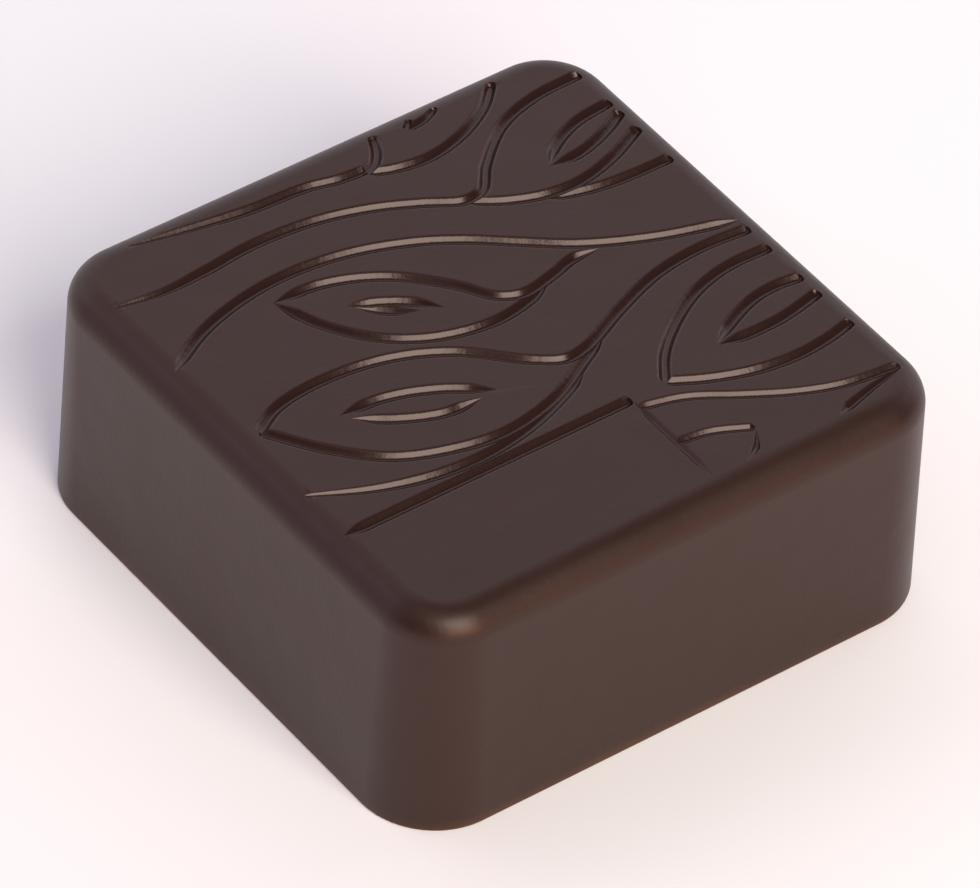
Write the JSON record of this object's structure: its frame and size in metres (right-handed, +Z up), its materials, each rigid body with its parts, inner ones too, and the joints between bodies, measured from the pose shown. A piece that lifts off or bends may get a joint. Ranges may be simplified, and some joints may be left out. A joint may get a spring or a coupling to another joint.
{
  "type": "chocolate bonbon",
  "caption": "Square moulded dark chocolate bonbon with round corners, a rolled top edge and a flat top carved with a wood-grain pattern.",
  "frame": {"origin": "middle of the flat base, in the plane that the bonbon rests on", "axes": "+Z up; +X along the straight plank joint of the carved grain; +Y from the plank towards the opposite side of the top"},
  "size_m": [0.028, 0.028, 0.0117],
  "materials": {
    "dark_chocolate": "satin sheen of moulded dark chocolate"
  },
  "bodies": {
    "root": {"bonbon": "dark_chocolate"}
  },
  "joints": []
}
